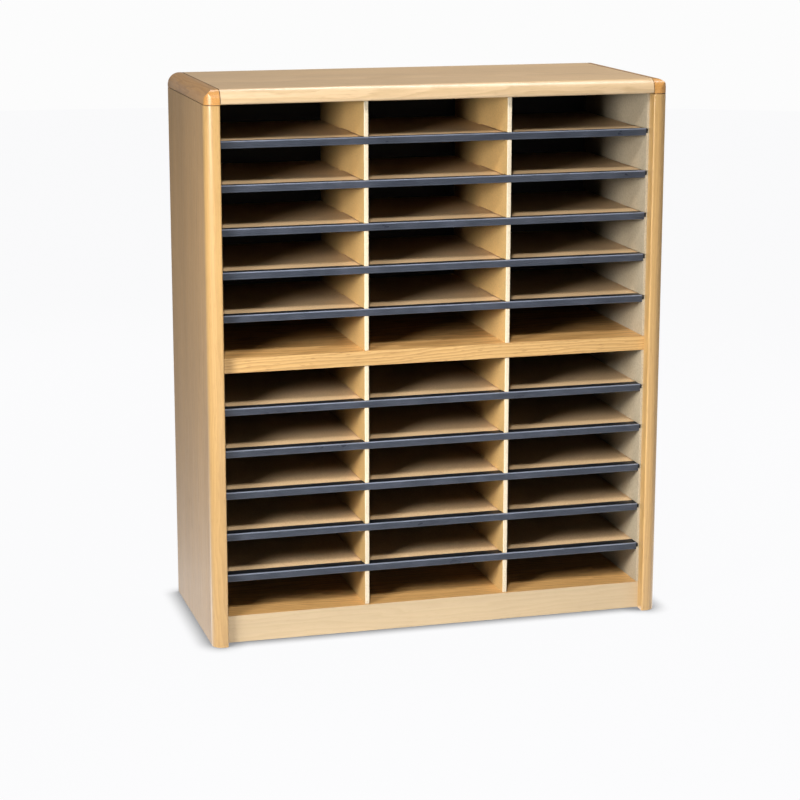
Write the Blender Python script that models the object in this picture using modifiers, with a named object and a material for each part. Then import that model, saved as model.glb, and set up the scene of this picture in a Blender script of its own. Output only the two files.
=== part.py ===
"""File organizer: a free-standing sorter case with 36 letter-size compartments.

Two oak-grain side panels carry a nosed top, a middle shelf and a bottom shelf. Round-edged
hardwood posts cover the front edges of the sides, and a quarter-round corner moulding with
a ball front end runs along each side of the top. Each half of the case holds two upright
dividers and five full-width shelves. Dividers and shelves are cross-lapped: the divider is
slotted from its front edge and the shelf from its back edge, so a shelf pulls straight out.

Metres, +Z up, +X to the right, front towards -Y. The origin is on the floor, under the
centre of the case.
"""

from math import cos, pi, radians, sin

import bmesh
import bpy
from mathutils import Matrix

MM = 0.001

# Case
WIDTH = 819.15 * MM
DEPTH = 342.9 * MM
HEIGHT = 965.2 * MM
SIDE_THICK = 19.0 * MM
TOP_THICK = 25.5 * MM
MIDDLE_THICK = 26.0 * MM
BASE_THICK = 19.0 * MM
BASE_TOP = 49.3 * MM
BACK_THICK = 3.2 * MM

# Hardwood posts and corner mouldings
POST_WIDTH = 26.5 * MM
POST_DEPTH = 21.3 * MM
POST_OUTER_ROUND = 18.0 * MM
POST_INNER_ROUND = 3.0 * MM
CORNER_ROUND = 21.0 * MM
NOSE_UPPER_ROUND = 18.0 * MM
NOSE_LOWER_ROUND = 5.0 * MM
EASED_EDGE = 1.5 * MM
FLOOR_CLEAR = 1.0 * MM

# Inside of the case
LINER_THICK = 11.0 * MM
DIVIDER_THICK = 7.8 * MM
COLUMNS = 3
BOARD_THICK = 6.0 * MM
SHELVES = 5
SHELF_PITCH = 74.0 * MM
GROOVE_HEIGHT = 9.0 * MM
SLOT_HEIGHT = 8.0 * MM
DADO_DEPTH = 3.0 * MM
DADO_STOP = 12.0 * MM

# Label moulding on the front edge of each shelf
LABEL_SETBACK = 3.0 * MM
LABEL_ABOVE = 5.5 * MM
LABEL_BELOW = 7.0 * MM
LABEL_WALL = 2.3 * MM
LABEL_FLANGE = 1.6 * MM
LABEL_UPPER_REACH = 17.0 * MM
LABEL_LOWER_REACH = 9.0 * MM
LABEL_RECESS = 0.9 * MM
LABEL_LIP = 1.6 * MM
LABEL_RIB = 0.8 * MM
LABEL_RIBS = 3

# Hardware
DOWEL_RADIUS = 4.0 * MM
DOWEL_LENGTH = 28.0 * MM
DOWEL_CHAMFER = 0.8 * MM
CORNER_DOWEL_RISE = 11.0 * MM
CAM_RADIUS = 7.5 * MM
CAM_SETBACK = 24.0 * MM
CAM_OVER_BOLT = 4.5 * MM
BOLT_RADIUS = 3.0 * MM
BOLT_NECK = 2.0 * MM
BOLT_IN_SIDE = 11.0 * MM
BOLT_BORE = 4.0 * MM
SCREW_HEAD_RADIUS = 3.6 * MM
SCREW_HEAD_HEIGHT = 1.6 * MM
SCREW_RADIUS = 1.5 * MM
SCREW_LENGTH = 15.0 * MM
BACK_RECESS = 2.2 * MM
RABBET_REACH = 9.5 * MM
SCREWS_PER_SIDE = 4
POST_DOWELS = 4
TOP_DOWELS = 3

# How far rows of fasteners reach from the middle, as a share of the height or depth that they hold
TOP_DOWEL_REACH = 0.36
CORNER_DOWEL_REACH = 0.18
POST_DOWEL_REACH = 0.42
SHELF_DOWEL_REACH = 0.2
CAM_REACH = 0.34
SCREW_REACH = 0.43

# Clearances
FIT = 0.3 * MM
SEAM = 0.5 * MM
SLOT_CLEAR = 0.5 * MM
POST_CLEAR = 0.4 * MM
GROOVE_END = 0.5 * MM
LAP_CLEAR = 1.0 * MM
BACK_CLEAR = 1.0 * MM
PAST = 10.0 * MM
MERGE = 0.01 * MM

# Facets
ARC_STEPS = 8
CORNER_STEPS = 10
SMALL_ARC_STEPS = 4
EASE_STEPS = 3
BORE_SIDES = 10
CAM_SIDES = 16
SCREW_SIDES = 8

# Planes worked out from the sizes above
FRONT = -DEPTH / 2
BACK = DEPTH / 2
SIDE_OUTER = WIDTH / 2
SIDE_INNER = SIDE_OUTER - SIDE_THICK
POST_INNER = SIDE_OUTER - POST_WIDTH
LINER_FACE = SIDE_INNER - FIT - LINER_THICK
CASE_FRONT = FRONT + POST_DEPTH
BACK_PANEL_FRONT = BACK - BACK_RECESS - BACK_THICK
INSIDE_BACK = BACK_PANEL_FRONT - FIT
LABEL_FRONT = CASE_FRONT + LABEL_SETBACK
LAP_LINE = (LABEL_FRONT + INSIDE_BACK) / 2
TOP_UNDER = HEIGHT - TOP_THICK
SECTION = (TOP_UNDER - BASE_TOP - MIDDLE_THICK) / 2
MIDDLE_UNDER = BASE_TOP + SECTION
MIDDLE_TOP = MIDDLE_UNDER + MIDDLE_THICK
BASE_UNDER = BASE_TOP - BASE_THICK
COLUMN = (2 * LINER_FACE - (COLUMNS - 1) * DIVIDER_THICK) / COLUMNS
BOARD_HALF = POST_INNER - POST_CLEAR
SECTIONS = {"lower": (BASE_TOP, MIDDLE_UNDER), "upper": (MIDDLE_TOP, TOP_UNDER)}
SIDES = {"left": -1, "right": 1}

# Colour, roughness and metallic value of each finish
FINISHES = {
    "oak_laminate": ("#B08F6C", 0.45, 0.0),
    "oak_hardwood": ("#D9A468", 0.35, 0.0),
    "edge_laminate": ("#D8B98C", 0.45, 0.0),
    "liner_board": ("#C8BCA2", 0.6, 0.0),
    "divider_board": ("#D3A66E", 0.6, 0.0),
    "shelf_board": ("#A9825C", 0.7, 0.0),
    "label_plastic": ("#4A4E5A", 0.4, 0.0),
    "back_board": ("#15130F", 0.8, 0.0),
    "zinc": ("#B9BBBD", 0.35, 1.0),
}


for leftover in list(bpy.data.objects):
    bpy.data.objects.remove(leftover)
parts = bpy.data.collections.new("file_organizer")
cutters = bpy.data.collections.new("cutters")
bpy.context.scene.collection.children.link(parts)
bpy.context.scene.collection.children.link(cutters)


def linear(channel):
    return channel / 12.92 if channel <= 0.04045 else ((channel + 0.055) / 1.055) ** 2.4


def make_finish(name):
    code, roughness, metallic = FINISHES[name]
    material = bpy.data.materials.get(name) or bpy.data.materials.new(name)
    material.use_nodes = True
    shader = material.node_tree.nodes["Principled BSDF"]
    rgb = [linear(int(code[i : i + 2], 16) / 255) for i in (1, 3, 5)]
    shader.inputs["Base Color"].default_value = (*rgb, 1.0)
    shader.inputs["Roughness"].default_value = roughness
    shader.inputs["Metallic"].default_value = metallic
    return material


def add_object(name, mesh, location, finish):
    """Link a mesh as a part, or as a cutter where it has no finish."""
    piece = bpy.data.objects.new(name, mesh)
    piece.location = location
    if finish:
        parts.objects.link(piece)
        mesh.materials.clear()
        mesh.materials.append(make_finish(finish))
    else:
        cutters.objects.link(piece)
        piece.hide_render = True
        piece.display_type = "WIRE"
    return piece


def add_shape(name, shape, location, finish):
    mesh = bpy.data.meshes.new(name)
    shape.to_mesh(mesh)
    shape.free()
    return add_object(name, mesh, location, finish)


def board(name, low, high, finish):
    """A square-edged board between two corners."""
    size = [b - a for a, b in zip(low, high)]
    middle = [(a + b) / 2 for a, b in zip(low, high)]
    shape = bmesh.new()
    bmesh.ops.create_cube(shape, size=1.0, matrix=Matrix.Diagonal((*size, 1.0)))
    return add_shape(name, shape, middle, finish)


def boxes(name, corner_pairs):
    """One cutter made of several boxes that stand apart."""
    shape = bmesh.new()
    for low, high in corner_pairs:
        size = [b - a for a, b in zip(low, high)]
        middle = [(a + b) / 2 for a, b in zip(low, high)]
        place = Matrix.Translation(middle) @ Matrix.Diagonal((*size, 1.0))
        bmesh.ops.create_cube(shape, size=1.0, matrix=place)
    return add_shape(name, shape, (0, 0, 0), None)


def arc(centre, radius, start, end, steps=ARC_STEPS):
    """Points round a centre, from one angle in degrees to another."""
    turn = [radians(start + (end - start) * i / steps) for i in range(steps + 1)]
    return [(centre[0] + radius * cos(a), centre[1] + radius * sin(a)) for a in turn]


# An outline's two directions and its length, turned to lie along X, Y or Z
RUN = {
    "X": Matrix(((0, 0, 1, 0), (1, 0, 0, 0), (0, 1, 0, 0), (0, 0, 0, 1))),
    "Y": Matrix(((1, 0, 0, 0), (0, 0, -1, 0), (0, 1, 0, 0), (0, 0, 0, 1))),
    "Z": Matrix.Identity(4),
}


def profile_bar(name, outline, axis, start, end, finish):
    """A flat outline filled and run along an axis: (y, z) along X, (x, z) along Y, (x, y) along Z."""
    curve = bpy.data.curves.new(name + "_outline", "CURVE")
    curve.dimensions = "2D"
    curve.fill_mode = "BOTH"
    curve.extrude = (end - start) / 2
    spline = curve.splines.new("POLY")
    spline.points.add(len(outline) - 1)
    for point, (u, v) in zip(spline.points, outline):
        point.co = (u, v, 0.0, 1.0)
    spline.use_cyclic_u = True
    guide = bpy.data.objects.new(name + "_guide", curve)
    bpy.context.scene.collection.objects.link(guide)
    guide.matrix_world = RUN[axis]
    guide.location["XYZ".index(axis)] = (start + end) / 2
    bpy.context.view_layer.update()
    ready = guide.evaluated_get(bpy.context.evaluated_depsgraph_get())
    mesh = bpy.data.meshes.new_from_object(ready)
    mesh.name = name
    shape = bmesh.new()
    shape.from_mesh(mesh)
    bmesh.ops.remove_doubles(shape, verts=shape.verts, dist=MERGE)
    bmesh.ops.recalc_face_normals(shape, faces=shape.faces)
    shape.to_mesh(mesh)
    shape.free()
    piece = add_object(name, mesh, (0, 0, 0), finish)
    piece.matrix_world = guide.matrix_world
    bpy.data.objects.remove(guide)
    return piece


def smooth(piece, angle=30):
    piece.data.shade_smooth()
    piece.data.set_sharp_from_angle(angle=radians(angle))


def shape_with(piece, cutter, operation="DIFFERENCE"):
    modifier = piece.modifiers.new(cutter.name, "BOOLEAN")
    modifier.operation = operation
    modifier.object = cutter
    modifier.solver = "EXACT"


# Turned pieces stand along Z, and these turns lay their tops towards an axis
LAY = {
    "X": Matrix.Rotation(radians(90), 4, "Y"),
    "-X": Matrix.Rotation(radians(-90), 4, "Y"),
    "Y": Matrix.Rotation(radians(-90), 4, "X"),
}


def turned(name, profile, steps=BORE_SIDES):
    """A closed profile of (radius, height) points, top to bottom, turned about Z."""
    shape = bmesh.new()
    ring = [shape.verts.new((radius, 0, height)) for radius, height in profile]
    for upper, lower in zip(ring, ring[1:]):
        shape.edges.new((upper, lower))
    blank = add_shape(name + "_blank", shape, (0, 0, 0), None)
    screw = blank.modifiers.new("turn", "SCREW")
    screw.steps = steps
    screw.render_steps = steps
    screw.use_merge_vertices = True
    screw.merge_threshold = MERGE
    bpy.context.view_layer.update()
    ready = blank.evaluated_get(bpy.context.evaluated_depsgraph_get())
    mesh = bpy.data.meshes.new_from_object(ready)
    bpy.data.objects.remove(blank)
    return mesh


def copies(name, mesh, places):
    """One cutter holding a copy of a fastener at each place."""
    shape = bmesh.new()
    for place in places:
        copy = mesh.copy()
        copy.transform(place)
        shape.from_mesh(copy)
        bpy.data.meshes.remove(copy)
    return add_shape(name, shape, (0, 0, 0), None)


def bores(name, places, radius, low, high, sides=BORE_SIDES):
    """A cutter of round bores: each place is laid like the fastener, from low to high along it."""
    shape = bmesh.new()
    for place in places:
        middle = place @ Matrix.Translation((0, 0, (low + high) / 2))
        bmesh.ops.create_cone(
            shape, cap_ends=True, segments=sides, radius1=radius, radius2=radius,
            depth=high - low, matrix=middle,
        )
    return add_shape(name, shape, (0, 0, 0), None)


def nose_outline(upper, lower, back, bottom):
    """The top's side view: a full upper round and a small lower one at the front."""
    outline = arc((FRONT + upper, HEIGHT - upper), upper, 90, 180)
    if lower:
        outline += arc((FRONT + lower, bottom + lower), lower, 180, 270)
    else:
        outline.append((FRONT, bottom))
    return outline + [(back, bottom), (back, HEIGHT)]


def make_side(name, sign, back_cutter):
    inner, outer = sorted((sign * SIDE_INNER, sign * SIDE_OUTER))
    low = (inner, CASE_FRONT + SEAM, 0)
    high = (outer, BACK, TOP_UNDER - SEAM)
    side = board("side_panel_" + name, low, high, "oak_laminate")
    shape_with(side, back_cutter)
    return side


def make_post(name, sign):
    outer = arc((SIDE_OUTER - POST_OUTER_ROUND, FRONT + POST_OUTER_ROUND), POST_OUTER_ROUND, 270, 360)
    centre = (POST_INNER + POST_INNER_ROUND, FRONT + POST_INNER_ROUND)
    inner = arc(centre, POST_INNER_ROUND, 180, 270, SMALL_ARC_STEPS)
    outline = [(POST_INNER, CASE_FRONT)] + inner + outer + [(SIDE_OUTER, CASE_FRONT)]
    outline = [(sign * x, y) for x, y in outline]
    post = profile_bar("post_" + name, outline, "Z", 0, TOP_UNDER - SEAM, "oak_hardwood")
    smooth(post)
    return post


def make_corner(name, sign, back_cutter):
    """A quarter-round run shaped to a ball at the front by the top's nose and the post's plan."""
    inner = POST_INNER + SEAM
    centre = (SIDE_OUTER - CORNER_ROUND, HEIGHT - CORNER_ROUND)
    quarter = arc(centre, CORNER_ROUND, 0, 90, CORNER_STEPS)
    outline = [(inner, TOP_UNDER), (SIDE_OUTER, TOP_UNDER)] + quarter + [(inner, HEIGHT)]
    outline = [(sign * x, z) for x, z in outline]
    corner = profile_bar("corner_moulding_" + name, outline, "Y", FRONT, BACK, "oak_hardwood")
    nose = nose_outline(NOSE_UPPER_ROUND, 0, BACK + PAST, TOP_UNDER - PAST)
    start, end = sorted((sign * (inner - PAST), sign * (SIDE_OUTER + PAST)))
    shape_with(corner, profile_bar("corner_nose_" + name, nose, "X", start, end, None), "INTERSECT")
    plan = arc((SIDE_OUTER - POST_OUTER_ROUND, FRONT + POST_OUTER_ROUND), POST_OUTER_ROUND, 270, 360)
    plan = [(inner - PAST, FRONT)] + plan + [(SIDE_OUTER, BACK + PAST), (inner - PAST, BACK + PAST)]
    plan = [(sign * x, y) for x, y in plan]
    cutter = profile_bar("corner_plan_" + name, plan, "Z", TOP_UNDER - PAST, HEIGHT + PAST, None)
    shape_with(corner, cutter, "INTERSECT")
    shape_with(corner, back_cutter)
    smooth(corner)
    return corner


def make_top(back_cutter):
    outline = nose_outline(NOSE_UPPER_ROUND, NOSE_LOWER_ROUND, BACK, TOP_UNDER)
    top = profile_bar("top_panel", outline, "X", -POST_INNER, POST_INNER, "oak_laminate")
    shape_with(top, back_cutter)
    smooth(top)
    return top


def make_middle():
    """The fixed middle shelf, with both front arrises eased."""
    ease = EASED_EDGE
    outline = arc((CASE_FRONT + ease, MIDDLE_TOP - ease), ease, 90, 180, EASE_STEPS)
    outline += arc((CASE_FRONT + ease, MIDDLE_UNDER + ease), ease, 180, 270, EASE_STEPS)
    outline += [(INSIDE_BACK, MIDDLE_UNDER), (INSIDE_BACK, MIDDLE_TOP)]
    end = SIDE_INNER - FIT
    shelf = profile_bar("middle_shelf", outline, "X", -end, end, "oak_laminate")
    smooth(shelf)
    return shelf


def make_base():
    """The bottom shelf and the kick plate, mitred together along the top front arris."""
    end = SIDE_INNER - FIT
    lap = FIT / sin(pi / 4)
    floor = [
        (CASE_FRONT + lap, BASE_TOP),
        (CASE_FRONT + lap + BASE_THICK, BASE_UNDER),
        (INSIDE_BACK, BASE_UNDER),
        (INSIDE_BACK, BASE_TOP),
    ]
    shelf = profile_bar("bottom_shelf", floor, "X", -end, end, "oak_laminate")
    kick = [
        (CASE_FRONT, FLOOR_CLEAR),
        (CASE_FRONT, BASE_TOP - EASED_EDGE),
        (CASE_FRONT + EASED_EDGE / 2, BASE_TOP - EASED_EDGE / 2),
        (CASE_FRONT + BASE_THICK, BASE_UNDER),
        (CASE_FRONT + BASE_THICK, FLOOR_CLEAR),
    ]
    plate = profile_bar("kick_plate", kick, "X", -end, end, "edge_laminate")
    return shelf, plate


def make_back(half_width, bottom, top):
    low = (-half_width, BACK_PANEL_FRONT, bottom)
    high = (half_width, BACK_PANEL_FRONT + BACK_THICK, top)
    return board("back_panel", low, high, "back_board")


def shelf_heights(section):
    """Heights of the shelf boards' centres in one half of the case, from the bottom up."""
    floor, ceiling = SECTIONS[section]
    middle = (floor + ceiling) / 2
    first = middle - SHELF_PITCH * (SHELVES - 1) / 2
    return [first + SHELF_PITCH * i for i in range(SHELVES)]


def divider_centres():
    pitch = COLUMN + DIVIDER_THICK
    return [pitch * (i - (COLUMNS - 2) / 2) for i in range(COLUMNS - 1)]


def make_liner(section, name, sign):
    """A side lining board with an open-ended groove for each shelf."""
    floor, ceiling = SECTIONS[section]
    face, outer = sorted((sign * LINER_FACE, sign * (SIDE_INNER - FIT)))
    low = (face, CASE_FRONT + FIT, floor + FIT)
    high = (outer, INSIDE_BACK, ceiling - FIT)
    liner = board(f"liner_{section}_{name}", low, high, "liner_board")
    start, end = sorted((sign * (LINER_FACE - PAST), sign * (BOARD_HALF + GROOVE_END)))
    grooves = []
    for height in shelf_heights(section):
        sill = height - BOARD_THICK / 2 - FIT
        grooves.append(((start, FRONT, sill), (end, BACK, sill + GROOVE_HEIGHT)))
    shape_with(liner, boxes(f"grooves_{section}_{name}", grooves))
    return liner


def make_divider(section, number, centre):
    """An upright slotted from the front for the shelf boards, with a notch for each label moulding."""
    floor, ceiling = SECTIONS[section]
    half = DIVIDER_THICK / 2
    low = (centre - half, LABEL_FRONT, floor - DADO_DEPTH + FIT)
    high = (centre + half, INSIDE_BACK, ceiling + DADO_DEPTH - FIT)
    divider = board(f"divider_{section}_{number}", low, high, "divider_board")
    slots = []
    notches = []
    left, right = centre - half - PAST, centre + half + PAST
    for height in shelf_heights(section):
        sill = height - BOARD_THICK / 2 - FIT
        slots.append(((left, FRONT, sill), (right, LAP_LINE + LAP_CLEAR / 2, sill + SLOT_HEIGHT)))
        under = height - LABEL_BELOW - SLOT_CLEAR
        over = height + LABEL_ABOVE + SLOT_CLEAR
        end = LABEL_FRONT + LABEL_UPPER_REACH + SLOT_CLEAR
        notches.append(((left, FRONT, under), (right, end, over)))
    stop = LABEL_FRONT + DADO_STOP
    for edge in ((floor - PAST, floor + FIT), (ceiling - FIT, ceiling + PAST)):
        notches.append(((left, FRONT, edge[0]), (right, stop, edge[1])))
    shape_with(divider, boxes(f"slots_{section}_{number}", slots))
    shape_with(divider, boxes(f"notches_{section}_{number}", notches))
    return divider


def dado_cutter(name, face, direction):
    """Stopped grooves that seat the dividers' ends in a shelf or the top."""
    low_z, high_z = sorted((face + direction * DADO_DEPTH, face - direction * PAST))
    half = DIVIDER_THICK / 2 + FIT
    start = LABEL_FRONT + DADO_STOP - FIT
    cuts = [((x - half, start, low_z), (x + half, BACK + PAST, high_z)) for x in divider_centres()]
    return boxes(name, cuts)


def make_shelf_board(name, carrier):
    """A full-width board whose back half is slotted to pass the dividers."""
    front = LABEL_FRONT + LABEL_WALL + FIT
    half = BOARD_THICK / 2
    low = (-BOARD_HALF, front - LABEL_FRONT, -half)
    high = (BOARD_HALF, INSIDE_BACK - BACK_CLEAR - LABEL_FRONT, half)
    piece = board(name, low, high, "shelf_board")
    slot = DIVIDER_THICK / 2 + SLOT_CLEAR
    start = LAP_LINE - LAP_CLEAR / 2 - LABEL_FRONT
    cuts = [((x - slot, start, -PAST), (x + slot, BACK + DEPTH, PAST)) for x in divider_centres()]
    cutter = boxes(name + "_slots", cuts)
    cutter.parent = carrier
    shape_with(piece, cutter)
    piece.parent = carrier
    return piece


def label_outline():
    """The label moulding's section as (y, z), with y from its front face and z from the board's centre."""
    grip = BOARD_THICK / 2 + FIT
    top, bottom = LABEL_ABOVE, -LABEL_BELOW
    ease = LABEL_RECESS / 2
    upper_lip, lower_lip = top - LABEL_LIP, bottom + LABEL_LIP
    face = [(ease, top), (0, top - ease), (0, upper_lip), (LABEL_RECESS, upper_lip - ease)]
    spacing = (upper_lip - lower_lip) / (LABEL_RIBS + 1)
    for i in range(LABEL_RIBS):
        middle = upper_lip - spacing * (i + 1)
        face += [
            (LABEL_RECESS, middle + LABEL_RIB),
            (LABEL_RECESS - LABEL_RIB, middle),
            (LABEL_RECESS, middle - LABEL_RIB),
        ]
    face += [(LABEL_RECESS, lower_lip + ease), (0, lower_lip), (0, bottom + ease), (ease, bottom)]
    under = [
        (LABEL_WALL, bottom),
        (LABEL_WALL, -grip - LABEL_FLANGE),
        (LABEL_LOWER_REACH, -grip - LABEL_FLANGE / 2),
        (LABEL_LOWER_REACH, -grip),
    ]
    over = [
        (LABEL_WALL, -grip),
        (LABEL_WALL, grip),
        (LABEL_UPPER_REACH, grip),
        (LABEL_UPPER_REACH, grip + LABEL_FLANGE / 2),
        (LABEL_WALL, grip + LABEL_FLANGE),
        (LABEL_WALL, top),
    ]
    return face + under + over


def make_label_moulding(name, carrier):
    half = LINER_FACE - POST_CLEAR
    piece = profile_bar(name, label_outline(), "X", -half, half, "label_plastic")
    piece.parent = carrier
    return piece


def make_shelves(section):
    """Removable shelves: board and label moulding hang from an empty on the shelf's slide line."""
    for number, height in enumerate(shelf_heights(section), 1):
        carrier = bpy.data.objects.new(f"slide_{section}_{number}", None)
        carrier.location = (0, LABEL_FRONT, height)
        parts.objects.link(carrier)
        make_shelf_board(f"shelf_board_{section}_{number}", carrier)
        make_label_moulding(f"label_moulding_{section}_{number}", carrier)


def spread(count, reach):
    """Evenly spaced places from -reach to reach."""
    return [reach * (2 * i / (count - 1) - 1) for i in range(count)]


def dowel_mesh():
    top = DOWEL_LENGTH / 2
    r, c = DOWEL_RADIUS, DOWEL_CHAMFER
    return turned("dowel", [(0, top), (r - c, top), (r, top - c), (r, c - top), (r - c, -top), (0, -top)])


def glue_dowels(host, places, bored):
    """Beech dowels glued into one piece, which is fused with them, and bores for them in its neighbours."""
    shape_with(host, copies(host.name + "_dowels", dowel_mesh(), places), "UNION")
    reach = DOWEL_LENGTH / 2 + SLOT_CLEAR
    cutter = bores(host.name + "_dowel_bores", places, DOWEL_RADIUS + FIT, -reach, reach)
    for piece in bored:
        shape_with(piece, cutter)


def add_dowels(sides, posts, corners, top, middle, base, kick):
    wood_line = SIDE_OUTER - SIDE_THICK / 2
    depth = BACK - CASE_FRONT
    centre_y = (BACK + CASE_FRONT) / 2
    signs = SIDES.values()
    nose_line = TOP_UNDER + TOP_THICK / 3
    places = [
        Matrix.Translation((sign * POST_INNER, centre_y + y, nose_line)) @ LAY["X"]
        for sign in signs for y in spread(TOP_DOWELS, depth * TOP_DOWEL_REACH)
    ]
    glue_dowels(top, places, corners)
    level = TOP_UNDER + CORNER_DOWEL_RISE - DOWEL_LENGTH / 2
    for sign, corner, post, side in zip(signs, corners, posts, sides):
        places = [
            Matrix.Translation((sign * wood_line, centre_y + y, level))
            for y in spread(2, depth * CORNER_DOWEL_REACH)
        ]
        glue_dowels(corner, places, [side])
        places = [
            Matrix.Translation((sign * wood_line, CASE_FRONT, TOP_UNDER / 2 + z)) @ LAY["Y"]
            for z in spread(POST_DOWELS, TOP_UNDER * POST_DOWEL_REACH)
        ]
        glue_dowels(post, places, [side])
    for shelf, level in ((middle, MIDDLE_UNDER + MIDDLE_THICK / 2), (base, BASE_UNDER + BASE_THICK / 2)):
        places = [
            Matrix.Translation((sign * SIDE_INNER, centre_y + y, level)) @ LAY["X"]
            for sign in signs for y in spread(2, depth * SHELF_DOWEL_REACH)
        ]
        glue_dowels(shelf, places, sides)
    kick_y = CASE_FRONT + BASE_THICK / 2
    places = [
        Matrix.Translation((sign * SIDE_INNER, kick_y, BASE_TOP / 2 - DOWEL_RADIUS)) @ LAY["X"]
        for sign in signs
    ]
    glue_dowels(kick, places, sides)


def bolt_mesh():
    """A cam bolt, from its head in the cam, down its neck, to the threaded end in the side."""
    head = BOLT_RADIUS
    start = -BOLT_IN_SIDE
    end = CAM_SETBACK + BOLT_RADIUS / 2
    profile = [
        (0, end), (head * 2 / 3, end), (head, end - head / 2), (head, end - head),
        (BOLT_NECK, end - head * 3 / 2), (BOLT_NECK, BOLT_RADIUS), (BOLT_RADIUS, BOLT_NECK),
        (BOLT_RADIUS, start + head / 2), (head * 2 / 3, start), (0, start),
    ]
    return turned("cam_bolt", profile)


def cam_mesh(height, bolt_level):
    """A zinc cam: a round drum with a slot, open at its top and at one side, for the bolt head."""
    drum = bmesh.new()
    bmesh.ops.create_cone(
        drum, cap_ends=True, segments=CAM_SIDES, radius1=CAM_RADIUS, radius2=CAM_RADIUS,
        depth=height, matrix=Matrix.Translation((0, 0, height / 2)),
    )
    blank = add_shape("cam_blank", drum, (0, 0, 0), None)
    half = BOLT_RADIUS + FIT
    slot = ((-half - FIT, -half, bolt_level - half), (CAM_RADIUS + PAST, half, height + PAST))
    shape_with(blank, boxes("cam_slot", [slot]))
    bpy.context.view_layer.update()
    ready = blank.evaluated_get(bpy.context.evaluated_depsgraph_get())
    mesh = bpy.data.meshes.new_from_object(ready)
    bpy.data.objects.remove(blank)
    mesh.name = "cam"
    return mesh


def add_cams(sides, middle, base):
    """Cam locks that draw the fixed shelves to the sides: two at each shelf end."""
    reach = (BACK - CASE_FRONT) * CAM_REACH
    centre_y = (BACK + CASE_FRONT) / 2
    bolt = bolt_mesh()
    rows = dict(zip(("front", "back"), spread(2, reach)))
    for shelf, label, under, thick in (
        (middle, "middle", MIDDLE_UNDER, MIDDLE_THICK),
        (base, "base", BASE_UNDER, BASE_THICK),
    ):
        cam = cam_mesh(thick / 2 + CAM_OVER_BOLT - FIT, thick / 2)
        bolts, cams = [], []
        for name, sign in SIDES.items():
            for row, y in rows.items():
                at_seam = Matrix.Translation((sign * SIDE_INNER, centre_y + y, under + thick / 2))
                bolts.append(at_seam @ LAY["X" if sign < 0 else "-X"])
                at_cam = Matrix.Translation((sign * (SIDE_INNER - CAM_SETBACK), centre_y + y, under))
                cams.append(at_cam @ Matrix.Rotation(0 if sign > 0 else pi, 4, "Z"))
                piece = add_object(f"cam_bolt_{label}_{name}_{row}", bolt, (0, 0, 0), "zinc")
                piece.matrix_world = bolts[-1]
                smooth(piece)
                piece = add_object(f"cam_{label}_{name}_{row}", cam, (0, 0, 0), "zinc")
                piece.matrix_world = cams[-1]
                smooth(piece)
        roof = thick / 2 + CAM_OVER_BOLT
        pocket = bores(label + "_cam_pockets", cams, CAM_RADIUS + FIT, -PAST, roof, CAM_SIDES)
        shape_with(shelf, pocket)
        shape_with(shelf, bores(label + "_neck_bores", bolts, BOLT_BORE, -PAST, CAM_SETBACK))
        cutter = bores(label + "_side_bores", bolts, BOLT_RADIUS + FIT, -BOLT_IN_SIDE - SLOT_CLEAR, PAST)
        for side in sides:
            shape_with(side, cutter)


def screw_mesh():
    """A pan-head screw, head at the top and its seat at height 0."""
    head, tall, r, tip = SCREW_HEAD_RADIUS, SCREW_HEAD_HEIGHT, SCREW_RADIUS, -SCREW_LENGTH
    profile = [
        (0, tall), (head * 2 / 3, tall), (head, tall / 2), (head, 0),
        (r, 0), (r, tip + 2 * r), (r / 3, tip), (0, tip),
    ]
    return turned("screw", profile, SCREW_SIDES)


def add_back_screws(back, sides, top, middle, base):
    """Screws through the back panel, each fused with the piece that it is driven into."""
    seat = BACK_PANEL_FRONT + BACK_THICK + FIT
    edge = SIDE_INNER + RABBET_REACH / 2
    columns = spread(SCREWS_PER_SIDE, TOP_UNDER * SCREW_REACH)
    spots = {
        side: [(sign * edge, TOP_UNDER / 2 + z) for z in columns]
        for side, sign in zip(sides, SIDES.values())
    }
    for shelf, level in (
        (top, TOP_UNDER + RABBET_REACH / 2),
        (middle, MIDDLE_UNDER + MIDDLE_THICK / 2),
        (base, BASE_UNDER + BASE_THICK / 2),
    ):
        spots[shelf] = [(x, level) for x in divider_centres()]
    screw = screw_mesh()
    for host, marks in spots.items():
        places = [Matrix.Translation((x, seat, z)) @ LAY["Y"] for x, z in marks]
        shape_with(host, copies(host.name + "_screws", screw, places), "UNION")
        shape_with(back, bores(host.name + "_screw_bores", places, SCREW_RADIUS + FIT, -PAST, PAST))


def build():
    rabbet = SIDE_INNER + RABBET_REACH
    bottom = BASE_UNDER
    ceiling = TOP_UNDER + RABBET_REACH
    recess = ((-rabbet, INSIDE_BACK, bottom - FIT), (rabbet, BACK + PAST, ceiling))
    back_cutter = boxes("back_recess", [recess])
    sides = [make_side(name, sign, back_cutter) for name, sign in SIDES.items()]
    posts = [make_post(name, sign) for name, sign in SIDES.items()]
    corners = [make_corner(name, sign, back_cutter) for name, sign in SIDES.items()]
    top = make_top(back_cutter)
    middle = make_middle()
    base, kick = make_base()
    back = make_back(rabbet - FIT, bottom, ceiling - FIT)
    shape_with(top, dado_cutter("top_dados", TOP_UNDER, 1))
    shape_with(middle, dado_cutter("middle_upper_dados", MIDDLE_TOP, -1))
    shape_with(middle, dado_cutter("middle_lower_dados", MIDDLE_UNDER, 1))
    shape_with(base, dado_cutter("base_dados", BASE_TOP, -1))
    for section in SECTIONS:
        for name, sign in SIDES.items():
            make_liner(section, name, sign)
        for number, centre in enumerate(divider_centres(), 1):
            make_divider(section, number, centre)
        make_shelves(section)
    add_dowels(sides, posts, corners, top, middle, base, kick)
    add_cams(sides, middle, base)
    add_back_screws(back, sides, top, middle, base)


build()
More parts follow.
